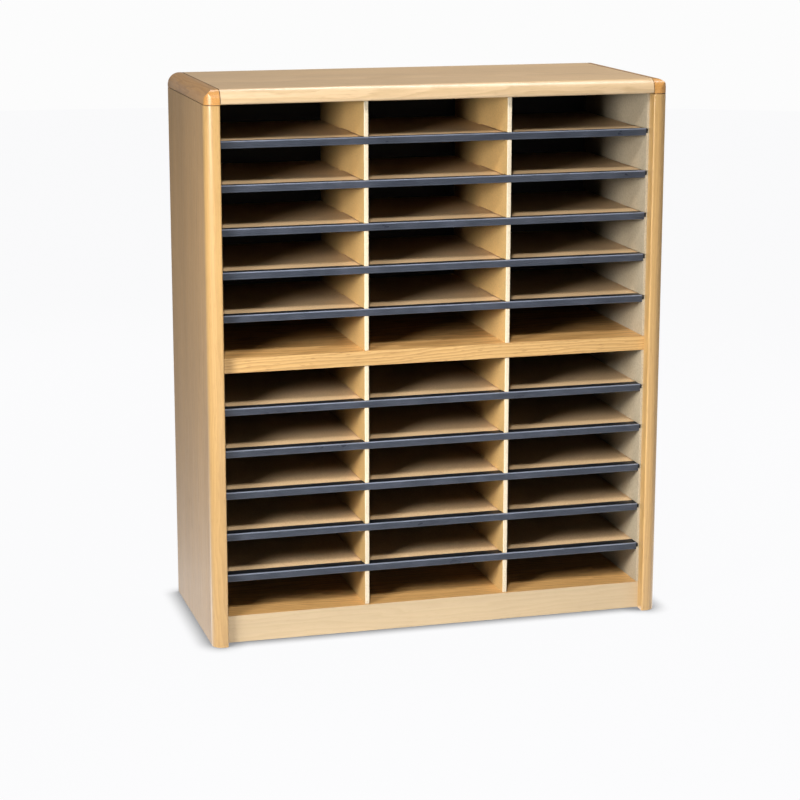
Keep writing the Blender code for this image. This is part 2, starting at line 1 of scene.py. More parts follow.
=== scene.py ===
# %% [markdown]
# # A file organizer in oak, board and plastic
#
# The case has thirty-six letter-size compartments. Oak-grain side panels carry a nosed top, a
# middle shelf and a bottom shelf. Hardwood posts cover the front edges, a quarter-round moulding
# with a ball end runs along each side of the top, and ten thin shelves slide out of the case.
#
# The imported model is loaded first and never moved: it says where every piece is. The pieces whose
# edges catch the light are then made again with finer rounds, in the same places, and the others
# keep their solids and are given a better finish.

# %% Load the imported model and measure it
from math import cos, pi, radians, sin

import bmesh
import bpy
from mathutils import Matrix, Vector


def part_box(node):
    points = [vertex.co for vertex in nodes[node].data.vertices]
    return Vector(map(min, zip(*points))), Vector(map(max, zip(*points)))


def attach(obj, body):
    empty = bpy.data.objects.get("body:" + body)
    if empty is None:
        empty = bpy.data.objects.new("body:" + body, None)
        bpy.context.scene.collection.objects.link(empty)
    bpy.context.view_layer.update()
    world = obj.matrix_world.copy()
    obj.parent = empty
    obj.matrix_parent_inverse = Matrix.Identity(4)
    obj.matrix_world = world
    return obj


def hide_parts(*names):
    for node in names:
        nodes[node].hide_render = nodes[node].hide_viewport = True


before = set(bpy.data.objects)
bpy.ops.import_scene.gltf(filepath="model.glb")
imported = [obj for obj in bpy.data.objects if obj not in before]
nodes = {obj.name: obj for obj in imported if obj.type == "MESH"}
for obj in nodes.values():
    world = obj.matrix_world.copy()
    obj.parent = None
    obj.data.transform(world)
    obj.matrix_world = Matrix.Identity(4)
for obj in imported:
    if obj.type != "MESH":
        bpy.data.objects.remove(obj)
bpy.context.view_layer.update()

MM = 0.001

# %% [markdown]
# ## Planes of the case
#
# The places of the pieces are read from the solids, so a piece made here fits the case. Written
# down are only the side panels' thickness, which hides behind the linings, and the radii, which
# the corners of a solid's box do not tell.

# %% Read the planes of the case from its solids
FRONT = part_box("post_right")[0].y
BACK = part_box("side_panel_right")[1].y
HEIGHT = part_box("top_panel")[1].z
SIDE_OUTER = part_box("side_panel_right")[1].x
POST_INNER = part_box("post_right")[0].x
TOP_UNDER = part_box("top_panel")[0].z
CASE_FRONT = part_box("kick_plate")[0].y
LABEL_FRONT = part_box("divider_upper_1")[0].y
BACK_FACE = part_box("back_panel")[1].y
SIDES = {"left": -1, "right": 1}
SECTIONS = ("lower", "upper")
SHELVES = 5
DIVIDERS = 2

SIDE_THICK = 19.0 * MM
POST_OUTER_ROUND = 18.0 * MM
POST_INNER_ROUND = 3.0 * MM
CORNER_ROUND = 21.0 * MM
NOSE_UPPER_ROUND = 18.0 * MM
NOSE_LOWER_ROUND = 5.0 * MM
EASED_EDGE = 1.5 * MM
CRISP_EDGE = 0.5 * MM
FIT = 0.3 * MM  # the play between two pieces
PAST = 10.0 * MM  # how far a cutting block goes past what it cuts
TOUCH = 0.02 * MM  # corners closer than this are on the same plane
SIDE_INNER = SIDE_OUTER - SIDE_THICK
print("case front", round(CASE_FRONT, 4), "label front", round(LABEL_FRONT, 4))

# %% [markdown]
# ## Shapes from blocks
#
# Timber work starts from square blocks whose edges are then rounded, so the helpers do the same:
# a block between two corners, the edges that lie on given planes, and a round-over along them.
# A cut made by another block is a Boolean, kept as a finished mesh.

# %% Helpers for blocks, round-overs and cuts
def block(low, high):
    low, high = Vector(low), Vector(high)
    shape = bmesh.new()
    place = Matrix.Translation((low + high) / 2) @ Matrix.Diagonal((*(high - low), 1.0))
    bmesh.ops.create_cube(shape, size=1.0, matrix=place)
    return shape


def edges_on(shape, **planes):
    """The edges whose two ends lie on every plane that is named, such as x=0.4."""
    return [
        edge for edge in shape.edges
        if all(
            abs(getattr(corner.co, axis) - level) < TOUCH
            for corner in edge.verts for axis, level in planes.items()
        )
    ]


def round_over(shape, edges, radius, segments):
    bmesh.ops.bevel(
        shape, geom=edges, offset=radius, offset_type="OFFSET", affect="EDGES",
        segments=segments, profile=0.5, material=-1,
    )


def place_shape(name, shape):
    """A new object at the origin whose mesh is the shape, with its faces pointing outwards."""
    bmesh.ops.recalc_face_normals(shape, faces=shape.faces)
    mesh = bpy.data.meshes.new(name)
    shape.to_mesh(mesh)
    shape.free()
    piece = bpy.data.objects.new(name, mesh)
    bpy.context.scene.collection.objects.link(piece)
    return piece


def cut(piece, shape, operation="DIFFERENCE"):
    """Apply one Boolean with a shape that is thrown away afterwards."""
    cutter = place_shape("cutter", shape)
    modifier = piece.modifiers.new("cut", "BOOLEAN")
    modifier.operation = operation
    modifier.solver = "EXACT"
    modifier.object = cutter
    bpy.context.view_layer.update()
    ready = piece.evaluated_get(bpy.context.evaluated_depsgraph_get())
    finished = bpy.data.meshes.new_from_object(ready)
    piece.modifiers.clear()
    piece.data = finished
    finished.name = piece.name
    bpy.data.objects.remove(cutter)


def soften(piece, angle=30):
    """Smooth rounds and flat faces: shading breaks only at real arrises."""
    piece.data.shade_smooth()
    piece.data.set_sharp_from_angle(angle=radians(angle))
    weighted = piece.modifiers.new("flat_faces", "WEIGHTED_NORMAL")
    weighted.keep_sharp = True


def stand_for(piece, slot, body, *replaced):
    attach(piece, body)
    if replaced:
        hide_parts(*replaced)


print("helpers ready")

# %% [markdown]
# ## Colours and nodes
#
# Colours are written as they look on a screen. Shaders count light, so one function turns each to
# linear values. One more adds a node, sets its values and links its inputs.

# %% Helpers for colours and nodes
def linear(code):
    channels = [int(code[i : i + 2], 16) / 255 for i in (1, 3, 5)]
    return tuple(c / 12.92 if c <= 0.04045 else ((c + 0.055) / 1.055) ** 2.4 for c in channels)


def add_node(tree, kind, settings=None, inputs=None):
    """Add a node; an input is a value, a colour code or another node's output socket."""
    node = tree.nodes.new(kind)
    for key, value in (settings or {}).items():
        setattr(node, key, value)
    for key, value in (inputs or {}).items():
        socket = node.inputs[key]
        if isinstance(value, bpy.types.NodeSocket):
            tree.links.new(value, socket)
        elif isinstance(value, str):
            socket.default_value = (*linear(value), 1.0)
        else:
            socket.default_value = value
    return node


def new_finish(name, roughness, metallic=0.0, **sockets):
    """A material with its shader ready; constant values stay on the shader's own sockets."""
    finish = bpy.data.materials.new(name)
    finish.use_nodes = True
    shader = finish.node_tree.nodes["Principled BSDF"]
    shader.inputs["Roughness"].default_value = roughness
    shader.inputs["Metallic"].default_value = metallic
    for key, value in sockets.items():
        shader.inputs[key.replace("_", " ")].default_value = value
    return finish.node_tree, shader, finish


def ramp(tree, factor, stops):
    """A colour ramp through (place, colour code) stops."""
    node = add_node(tree, "ShaderNodeValToRGB", None, {"Fac": factor})
    scale = node.color_ramp
    while len(scale.elements) < len(stops):
        scale.elements.new(0.5)
    for element, (place, code) in zip(scale.elements, stops):
        element.position = place
        element.color = (*linear(code), 1.0)
    return node.outputs["Color"]


def blend_colours(tree, amount, first, second):
    """The first colour, or the second where the amount is 1; sockets 6, 7 and 2 hold colours."""
    inputs = {0: amount, 6: first, 7: second}
    return add_node(tree, "ShaderNodeMix", {"data_type": "RGBA"}, inputs).outputs[2]


def coordinates(tree, grain_mm, offset=(0.0, 0.0, 0.0), turn=(0.0, 0.0, 0.0)):
    """Object coordinates in which one unit is the size of the pattern's grain along X, Y and Z."""
    place = add_node(tree, "ShaderNodeTexCoord")
    scale = [1000.0 / size if size else 0.0 for size in grain_mm]
    return add_node(
        tree, "ShaderNodeMapping", None,
        {"Vector": place.outputs["Object"], "Location": offset, "Rotation": turn, "Scale": scale},
    ).outputs["Vector"]


def speckle(tree, grain_mm, detail=2.0, roughness=0.5, offset=(0.0, 0.0, 0.0)):
    """Noise whose blotches have the given size in millimetres along each axis."""
    vector = coordinates(tree, grain_mm, offset)
    settings = {"Vector": vector, "Scale": 1.0, "Detail": detail, "Roughness": roughness}
    return add_node(tree, "ShaderNodeTexNoise", None, settings).outputs["Fac"]


def spread_out(tree, value, low, high, new_low=0.0, new_high=1.0):
    return add_node(
        tree, "ShaderNodeMapRange", {"clamp": True},
        {"Value": value, "From Min": low, "From Max": high, "To Min": new_low, "To Max": new_high},
    ).outputs["Result"]


def reading(tree, source, axis):
    """One axis of a coordinate: Object is the place on the piece, Normal its direction."""
    spot = add_node(tree, "ShaderNodeTexCoord").outputs[source]
    return add_node(tree, "ShaderNodeSeparateXYZ", None, {"Vector": spot}).outputs[axis]


def reopen(finish):
    """The tree, the shader and the present colour of a finish that gets one more layer."""
    shader = finish.node_tree.nodes["Principled BSDF"]
    return finish.node_tree, shader, shader.inputs["Base Color"].links[0].from_socket


def raise_surface(tree, shader, height, distance_mm, strength=1.0):
    bump = add_node(
        tree, "ShaderNodeBump", None,
        {"Height": height, "Distance": distance_mm * MM, "Strength": strength},
    )
    tree.links.new(bump.outputs["Normal"], shader.inputs["Normal"])


print("colour of pale oak:", [round(c, 3) for c in linear("#D9B98C")])

# %% [markdown]
# ## Oak
#
# Oak shows growth rings, long fibres and fine open pores. The rings are distances from the heart
# of the log, a line nearly parallel to the board and a little tilted, so a board cut near it shows
# long arches and one cut far from it shows straight grain. Fibres and pores are noise stretched
# along the grain. Real pores are about 0.3 mm wide, too fine for this picture, so they are drawn
# about 1.5 mm wide.
#
# The flat boards are a printed oak-grain laminate, rather dull, and only the top has a thin clear
# coat that mirrors the studio. The middle shelf's front is a strip of the same print with stronger
# grain. The posts and mouldings are solid oak under a clear coat, more golden and with a softer,
# deeper shine.

# %% Build an oak finish
AXES = {"X": 0, "Y": 1, "Z": 2}


def along(run, long_side, across, other=None):
    """Millimetre sizes with the long one on the grain's axis."""
    sizes = [across, across if other is None else other]
    sizes.insert(AXES[run], long_side)
    return sizes


def oak(name, run, tones, heart, ring_mm, tilt, contrast, roughness, **sockets):
    """Tones are the colour codes of pale wood, wood, the dark line of a ring and pores.

    The heart is the place of the log's axis, which runs along one axis with a little tilt.
    """
    tree, shader, finish = new_finish(name, roughness, **sockets)
    pale, wood, dark, pore = tones
    flat = [1.0, 1.0, 1.0]
    flat[AXES[run]] = 0.0
    place = add_node(tree, "ShaderNodeTexCoord").outputs["Object"]
    turned = add_node(
        tree, "ShaderNodeMapping", {"vector_type": "POINT"},
        {"Vector": place, "Rotation": [radians(a) for a in tilt]},
    ).outputs["Vector"]
    log = add_node(
        tree, "ShaderNodeMapping", None,
        {"Vector": turned, "Location": heart, "Scale": flat},
    ).outputs["Vector"]
    radius = add_node(
        tree, "ShaderNodeVectorMath", {"operation": "LENGTH"}, {0: log}
    ).outputs["Value"]
    # A tree is never a true cylinder: the rings wander by up to 34 mm.
    wander = speckle(tree, along(run, 320.0, 45.0), 3.0, 0.55)
    shaken = add_node(
        tree, "ShaderNodeMath", {"operation": "MULTIPLY_ADD"}, {0: wander, 1: 34.0 * MM, 2: radius}
    ).outputs["Value"]
    count = add_node(
        tree, "ShaderNodeMath", {"operation": "DIVIDE"}, {0: shaken, 1: ring_mm * MM}
    ).outputs["Value"]
    ring = add_node(tree, "ShaderNodeMath", {"operation": "FRACT"}, {0: count}).outputs["Value"]
    ringed = ramp(tree, ring, [(0.0, pale), (0.45, wood), (0.88, dark), (1.0, pale)])
    plain = blend_colours(tree, contrast, wood, ringed)
    # Fibres are finer than a pixel here, so bundles of them are drawn, 2.6 mm wide and 90 long.
    fibre = speckle(tree, along(run, 90.0, 2.6), 3.0, 0.6)
    streaks = spread_out(tree, fibre, 0.3, 0.7, -0.09 * contrast, 0.09 * contrast)
    broad = speckle(tree, along(run, 420.0, 60.0), 2.0, 0.5, (3.1, 1.7, 0.4))
    drift = spread_out(tree, broad, 0.3, 0.7, 0.93, 1.07)
    bright = add_node(tree, "ShaderNodeMath", {"operation": "ADD"}, {0: drift, 1: streaks})
    toned = add_node(
        tree, "ShaderNodeHueSaturation", None,
        {"Color": plain, "Value": bright.outputs["Value"]},
    ).outputs["Color"]
    holes = speckle(tree, along(run, 16.0, 1.5), 1.0, 0.4, (0.6, 2.2, 5.1))
    pores = spread_out(tree, holes, 0.6, 0.72, 0.0, 0.55 * contrast)
    coloured = blend_colours(tree, pores, toned, pore)
    tree.links.new(coloured, shader.inputs["Base Color"])
    dull = spread_out(tree, fibre, 0.25, 0.75, roughness - 0.05, roughness + 0.09)
    tree.links.new(dull, shader.inputs["Roughness"])
    # Pores are sunk below the fibres.
    height = add_node(
        tree, "ShaderNodeMath", {"operation": "MULTIPLY_ADD"}, {0: pores, 1: -1.0, 2: fibre}
    ).outputs["Value"]
    raise_surface(tree, shader, height, 0.12, 0.5)
    return finish


# The sides: printed paper under melamine, matt and rather grey.
UPRIGHT_TONES = ("#AC8C64", "#A2825A", "#8C6E49", "#6C5133")
upright_laminate = oak(
    "oak_laminate_upright", "Z", UPRIGHT_TONES, (0.1, 0.42, 0.0), 7.0, (0.5, 0.4, 0), 0.55, 0.42
)
# The top: the same print under a harder, clearer film, which mirrors the studio a little. A little
# cream is mixed in where the surface looks forward, a painted highlight, so the nose shows paler.
TOP_TONES = ("#C6A780", "#BD9E76", "#A98A60", "#8A6B45")
top_laminate = oak(
    "oak_laminate_top", "X", TOP_TONES, (0.0, 0.03, -0.86), 6.0, (0, 0.8, 1.1), 0.6, 0.34,
    Coat_Weight=0.35, Coat_Roughness=0.3,
)
tree, shader, faced = reopen(top_laminate)
nose_highlight_share = spread_out(tree, reading(tree, "Normal", "Y"), -0.1, -0.6, 0.0, 0.15)
tree.links.new(blend_colours(tree, nose_highlight_share, faced, "#DDCDAB"), shader.inputs["Base Color"])

# The fixed shelves: a warmer print with more contrast, which still shows in the shade.
SHELF_TONES = ("#DAAB6C", "#CE9F61", "#B08049", "#885D30")
shelf_laminate = oak(
    "oak_laminate_shelf", "X", SHELF_TONES, (0.0, 0.05, 0.02), 6.5, (0, 1.6, 2.6), 0.8, 0.42
)

# The kick plate: the palest print, with the faintest grain.
KICK_TONES = ("#C2AC88", "#BAA381", "#B09974", "#9C835F")
kick_laminate = oak(
    "oak_laminate_kick", "X", KICK_TONES, (0.0, 0.42, 0.2), 6.0, (0, 0.3, 0.4), 0.3, 0.42
)

# The posts: solid oak under a satin lacquer, so a sharp highlight lies over a dull base.
POST_TONES = ("#BC9760", "#B48F58", "#A67F4D", "#886233")
post_oak = oak(
    "lacquered_oak_post", "Z", POST_TONES, (0.31, 0.42, 0.0), 5.5, (0.4, 0.3, 0), 0.45, 0.34,
    Coat_Weight=0.5, Coat_Roughness=0.22,
)

# The front of the middle shelf: an edge strip, a shade darker, with strong lines.
BAND_TONES = ("#C49E66", "#B9935B", "#9F7845", "#7B532A")
shelf_band = oak(
    "oak_edge_band", "X", BAND_TONES, (0.0, 0.05, 0.02), 6.5, (0, 1.6, 2.6), 0.8, 0.42
)
print("oak finishes:", [m.name for m in bpy.data.materials if "oak" in m.name])

# %% [markdown]
# ## Oak of the corner mouldings
#
# The moulding's grain runs front to back, so its ball end is end grain, which drinks more lacquer
# and looks warmer and darker in the hollows. The finish is made as the post's oak is, a shade
# deeper and turned along the moulding, with a paler golden tone mixed in wherever the surface faces
# the
# front: partly the end grain's own colour, partly a painted highlight of the front light.

# %% Turn the oak along the moulding and warm its end grain, partly with painted light
MOULDING_TONES = ("#B78A50", "#AB7D43", "#936631", "#724B22")
moulding_oak = oak(
    "lacquered_oak_moulding", "Y", MOULDING_TONES, (0.2, 0.0, -0.86), 4.5, (0.5, 0, 0.4), 0.6, 0.34,
    Coat_Weight=0.5, Coat_Roughness=0.22,
)
tree, shader, lengthwise = reopen(moulding_oak)
# Where the surface faces the front: end grain, in a paler golden tone that is partly a painted
# highlight.
facing_front_share = spread_out(tree, reading(tree, "Normal", "Y"), -0.15, -0.55)
# End-grain vessels are about 0.3 mm wide and are drawn as flecks of 1.6 mm, so that they show.
flecks = speckle(tree, (1.6, 1.6, 1.6), 2.0, 0.6)
end_grain_and_highlight = ramp(tree, flecks, [(0.3, "#A97436"), (0.5, "#B98445"), (0.7, "#C79555")])
tree.links.new(blend_colours(tree, facing_front_share, lengthwise, end_grain_and_highlight), shader.inputs["Base Color"])
print("moulding finish:", moulding_oak.name)

# %% [markdown]
# ## Boards, plastic and metal
#
# - The linings are a smooth grey-cream board, a little mottled where the fibres take the paint.
# - The dividers are the same kind of board in tan, with a cream strip along the front edge.
# - The shelves are hardboard, pressed from wood fibres. The smooth side is tan, and the side that
#   lay on the press's wire screen is near black: its texture is real, its dark tone painted shade
#   for the compartments below. A band along the front edge is drawn black, and of that band only a
#   thin line shows behind the label moulding.
# - The label mouldings are extruded plastic, blue-black with a soft gloss and faint lines along
#   their length from the die. Their flanges are darker, a painted shade, and their top lip is
#   paler, a painted highlight.
# - Where two pieces of wood meet, the broken edges are drawn dark brown, a painted shade, so a seam
#   shows.
# - The undersides of the top and the middle shelf are drawn dark brown, a painted shade, which
#   keeps the compartments below them dark.
# - The back is black hardboard, and the screws, cams and bolts are zinc plated.
#
# Every board starts from one recipe, small flecks over broad clouds of tone. Its real fibres are
# finer than a pixel, so the flecks are drawn as bundles of 2 to 3.5 mm. A shelf's colour then
# changes by direction (Normal) and by place (Object coordinates), because one solid carries it all.

# %% Board finishes
def pressed_board(name, codes, fleck_mm, roughness, bump_mm):
    """Pressed fibres: small flecks over broad clouds of tone."""
    tree, shader, finish = new_finish(name, roughness)
    flecks = speckle(tree, (fleck_mm, fleck_mm, fleck_mm), 4.0, 0.65)
    fine = ramp(tree, flecks, [(0.32, codes[2]), (0.5, codes[1]), (0.68, codes[0])])
    clouds = speckle(tree, (120.0, 90.0, 120.0), 2.0, 0.5, (1.3, 0.2, 4.4))
    value = spread_out(tree, clouds, 0.3, 0.7, 0.94, 1.06)
    toned = add_node(tree, "ShaderNodeHueSaturation", None, {"Color": fine, "Value": value})
    tree.links.new(toned.outputs["Color"], shader.inputs["Base Color"])
    dull = spread_out(tree, flecks, 0.3, 0.7, roughness - 0.06, roughness + 0.06)
    tree.links.new(dull, shader.inputs["Roughness"])
    raise_surface(tree, shader, flecks, bump_mm, 0.4)
    return finish


# Painted and dull: it shows the soft shadows of the shelves.
LINING_TONES = ("#B3A58C", "#A89A82", "#9A8D76")
liner_board = pressed_board("lining_board", LINING_TONES, 3.0, 0.55, 0.1)
DIVIDER_TONES = ("#CFA96D", "#C5A066", "#B8925A")
divider_board = pressed_board("divider_board_tan", DIVIDER_TONES, 3.0, 0.55, 0.1)
# A smooth strip, glossier than the board behind it, which makes the brightest lines of the front.
# On the kick plate's upper arris the same finish is a painted highlight.
CREAM_TONES = ("#D2C4AA", "#CCBEA3", "#C0B195")
cream_strip_and_highlight = pressed_board("edge_strip_cream_and_painted_highlight", CREAM_TONES, 2.5, 0.4, 0.05)
BACK_TONES = ("#24211D", "#1A1815", "#12100E")
black_board = pressed_board("hardboard_black", BACK_TONES, 3.2, 0.6, 0.12)
# The undersides of the top and the middle shelf: a dark sheet that is painted shade.
UNDERSIDE_SHADE_TONES = ("#2B241C", "#221C16", "#191510")
underside_shade = pressed_board("underside_painted_shade", UNDERSIDE_SHADE_TONES, 2.5, 0.6, 0.05)
# Painted shade for the seams where two pieces of wood meet.
SEAM_SHADE_TONES = ("#4A3019", "#3D2714", "#2F1D0E")
seam_shade = pressed_board("painted_seam_shade_brown", SEAM_SHADE_TONES, 2.0, 0.6, 0.05)
# Chips in three tones with open gaps between them, so this one is rough and deep.
CHIP_TONES = ("#C9A878", "#AE8A5A", "#86653C")
raw_chipboard = pressed_board("raw_chipboard", CHIP_TONES, 3.5, 0.8, 0.5)
print("board finishes ready")

# %% The two sides and the dark front band of the shelf boards
DARK_BAND = 32.0 * MM
BAND_BLUR = 0.5 * MM
HARDBOARD_TONES = ("#E7C69B", "#DEBB8E", "#CEA97B")
hardboard = pressed_board("hardboard_tan", HARDBOARD_TONES, 3.2, 0.5, 0.12)
tree, shader, smooth_side = reopen(hardboard)
screened = spread_out(tree, reading(tree, "Normal", "Z"), -0.4, -0.6)
# The wire screen has about 1 mm to a thread and is drawn at 2 mm.
threads = speckle(tree, (2.0, 2.0, 2.0), 1.0, 0.4)
# The screened side is drawn near black: real texture, with a dark tone that is painted shade for
# the compartments below.
screened_side_shade = ramp(tree, threads, [(0.35, "#1D1A16"), (0.65, "#34302A")])
both_sides = blend_colours(tree, screened, smooth_side, screened_side_shade)
# The front band of each board is drawn black; a thin line of it shows behind the label moulding.
band_end = LABEL_FRONT + DARK_BAND
dark_band_share = spread_out(tree, reading(tree, "Object", "Y"), band_end + BAND_BLUR, band_end - BAND_BLUR)
tree.links.new(blend_colours(tree, dark_band_share, both_sides, "#191A1D"), shader.inputs["Base Color"])
print("ink ends", round(band_end, 4))

# %% Plastic and zinc finishes
# Extruded plastic: a soft gloss, with die lines far finer than a pixel and drawn 1.6 mm wide.
tree, shader, label_plastic = new_finish("extruded_plastic_blue_black", 0.32)
die_lines = speckle(tree, (400.0, 1.6, 1.6), 2.0, 0.5)
dust = speckle(tree, (60.0, 30.0, 30.0), 3.0, 0.6, (0.0, 2.0, 7.0))
plastic_tone = ramp(tree, dust, [(0.3, "#30343E"), (0.5, "#363B45"), (0.7, "#3F434E")])
tree.links.new(plastic_tone, shader.inputs["Base Color"])
tree.links.new(spread_out(tree, dust, 0.3, 0.7, 0.27, 0.4), shader.inputs["Roughness"])
raise_surface(tree, shader, die_lines, 0.06, 0.4)

# The flanges: a darker copy of the plastic, a painted shade, dull, with hardly a reflection.
tree, shader, shadow_plastic = new_finish("extruded_plastic_painted_shade", 0.5)
shader.inputs["Specular IOR Level"].default_value = 0.2
flange_mottle = speckle(tree, (40.0, 20.0, 20.0), 3.0, 0.6, (0.0, 2.0, 7.0))
tree.links.new(ramp(tree, flange_mottle, [(0.3, "#0E0F12"), (0.7, "#1A1C20")]), shader.inputs["Base Color"])
tree.links.new(spread_out(tree, flange_mottle, 0.3, 0.7, 0.44, 0.58), shader.inputs["Roughness"])

# The top lip: a paler copy of the plastic, a painted highlight along its round, and the least
# rough.
tree, shader, lip_highlight_plastic = new_finish("extruded_plastic_painted_highlight", 0.28)
lip_mottle = speckle(tree, (50.0, 10.0, 10.0), 3.0, 0.6, (0.0, 2.0, 7.0))
lip_tone = ramp(tree, lip_mottle, [(0.3, "#656B78"), (0.7, "#7A8090")])
tree.links.new(lip_tone, shader.inputs["Base Color"])
tree.links.new(spread_out(tree, lip_mottle, 0.3, 0.7, 0.24, 0.34), shader.inputs["Roughness"])

# Zinc plate: fully metallic, with crystals of under a millimetre drawn at 2.5 mm.
tree, shader, zinc = new_finish("zinc_plate", 0.34, 1.0)
spangle = speckle(tree, (2.5, 2.5, 2.5), 3.0, 0.6)
zinc_tone = ramp(tree, spangle, [(0.3, "#A7A9AB"), (0.7, "#C6C8CB")])
tree.links.new(zinc_tone, shader.inputs["Base Color"])
tree.links.new(spread_out(tree, spangle, 0.3, 0.7, 0.28, 0.44), shader.inputs["Roughness"])
raise_surface(tree, shader, spangle, 0.04, 0.5)
print("plastic and zinc ready")

# %% [markdown]
# ## Posts
#
# A post is a square stick of oak, 26.5 by 21.3 mm, glued to the front edge of a side panel. Its
# outer front corner is turned to a full round and its inner one just broken. That is a block with
# one edge rounded over at 18 mm and another at 3 mm. Its top rim is broken too and drawn dark, a
# painted shade, which draws the thin dark seam below the corner moulding.

# %% Make the two posts
ROUND_STEPS = 16
SEAM_BREAK = 0.7 * MM


def is_on_rear(edge):
    """Whether the whole edge lies on the rear face of a post."""
    return all(abs(corner.co.y - CASE_FRONT) < TOUCH for corner in edge.verts)


def give(piece, *finishes):
    piece.data.materials.clear()
    for finish in finishes:
        piece.data.materials.append(finish)


for side, sign in SIDES.items():
    node = f"post_{side}"
    low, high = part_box(node)
    inner, outer = sign * POST_INNER, sign * SIDE_OUTER
    low.x, high.x = sorted((inner, outer))
    high.y = CASE_FRONT
    shape = block(low, high)
    round_over(shape, edges_on(shape, x=outer, y=FRONT), POST_OUTER_ROUND, ROUND_STEPS)
    round_over(shape, edges_on(shape, x=inner, y=FRONT), POST_INNER_ROUND, 6)
    rim = [edge for edge in edges_on(shape, z=high.z) if not is_on_rear(edge)]
    round_over(shape, rim, SEAM_BREAK, 1)
    post = place_shape(f"oak_post_{side}", shape)
    give(post, post_oak, seam_shade)
    # The broken top rim takes the painted seam shade.
    for face in post.data.polygons:
        if 0.2 < face.normal.z < 0.98:
            face.material_index = 1
    soften(post)
    stand_for(post, "oak_hardwood", "root", node)
    print(post.name, "height", round(high.z, 4), "faces", len(post.data.polygons))

# %% [markdown]
# ## Rebate for the back
#
# The back panel sits in a shallow rebate cut round the rear of the sides, the mouldings and the
# top. It is one block, a little wider than the panel, and it is cut out of each of them.

# %% The rebate's block
back_low, back_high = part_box("back_panel")


def rebate():
    low = (back_low.x - FIT, back_low.y - FIT, back_low.z - FIT)
    high = (back_high.x + FIT, BACK + PAST, back_high.z + FIT)
    return block(low, high)


print("back panel", [round(c, 4) for c in back_high - back_low])

# %% [markdown]
# ## Corner mouldings
#
# The moulding that closes the top at each side is a quarter-round along the depth. At the front it
# is turned down to meet the post, which makes the ball end with a crease where the rounds meet.
# Three blocks, each rounded along one axis, are intersected: what is inside all three is the
# moulding, and the crease comes by itself. The edges next to the top and above the side panel are
# broken and drawn dark, a painted shade, so that the joints read as seams.

# %% Make the two corner mouldings
CREASE_ANGLE = 24  # the crease of the ball end is blunt, and stays sharp from this angle on


for side, sign in SIDES.items():
    node = f"corner_moulding_{side}"
    low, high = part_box(node)
    outer = sign * SIDE_OUTER
    inner = low.x if sign > 0 else high.x
    far = sign * (SIDE_OUTER + PAST)
    near = inner - sign * PAST
    run_low, run_high = Vector(low), Vector(high)
    run_low.z, run_high.y = TOP_UNDER, BACK
    shape = block(run_low, run_high)
    round_over(shape, edges_on(shape, x=outer, z=HEIGHT), CORNER_ROUND, ROUND_STEPS)
    round_over(shape, edges_on(shape, x=inner, z=HEIGHT), SEAM_BREAK, 1)
    round_over(shape, edges_on(shape, x=outer, z=TOP_UNDER), SEAM_BREAK, 1)
    moulding = place_shape(f"ball_end_moulding_{side}", shape)
    start, end = sorted((near, far))
    nose = block((start, FRONT, TOP_UNDER - PAST), (end, BACK + PAST, HEIGHT))
    round_over(nose, edges_on(nose, y=FRONT, z=HEIGHT), NOSE_UPPER_ROUND, ROUND_STEPS)
    cut(moulding, nose, "INTERSECT")
    start, end = sorted((near, outer))
    plan = block((start, FRONT, TOP_UNDER - PAST), (end, BACK + PAST, HEIGHT + PAST))
    round_over(plan, edges_on(plan, x=outer, y=FRONT), POST_OUTER_ROUND, ROUND_STEPS)
    cut(moulding, plan, "INTERSECT")
    cut(moulding, rebate())
    give(moulding, moulding_oak, seam_shade)
    # The broken edges at the top and at the foot take the painted seam shade.
    for face in moulding.data.polygons:
        at_top = abs(face.center.x - inner) < SEAM_BREAK and face.normal.x * sign < -0.2
        at_foot = face.center.z < TOP_UNDER + SEAM_BREAK and face.normal.z < -0.2
        if (at_top and face.normal.z > 0.2) or (at_foot and face.normal.z > -0.98):
            face.material_index = 1
    soften(moulding, CREASE_ANGLE)
    stand_for(moulding, "oak_hardwood", "root", node)
    print(moulding.name, "faces", len(moulding.data.polygons))

# %% [markdown]
# ## Top
#
# The top is a board between the mouldings, 25.5 mm thick, with a nose along its front: a full round
# above and a small one below. Its end edges are broken and drawn dark, a painted shade, and so it
# meets the mouldings in a thin dark seam. Two grooves below take the tops of the dividers.

# %% Make the nosed top
DADO_DEPTH = 3.0 * MM
DADO_STOP = 12.0 * MM  # the grooves stop this far behind the dividers' fronts


def dados(face, direction):
    """Blocks for the grooves that hold the dividers' ends, in a face that looks down or up."""
    level = sorted((face + direction * DADO_DEPTH, face - direction * PAST))
    for number in range(1, DIVIDERS + 1):
        low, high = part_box(f"divider_upper_{number}")
        start = LABEL_FRONT + DADO_STOP - FIT
        yield block((low.x - FIT, start, level[0]), (high.x + FIT, BACK + PAST, level[1]))


def is_above(edge, level):
    """Not wholly on the level, and not on the rear face."""
    above = any(corner.co.z > level + TOUCH for corner in edge.verts)
    return above and any(corner.co.y < BACK - TOUCH for corner in edge.verts)


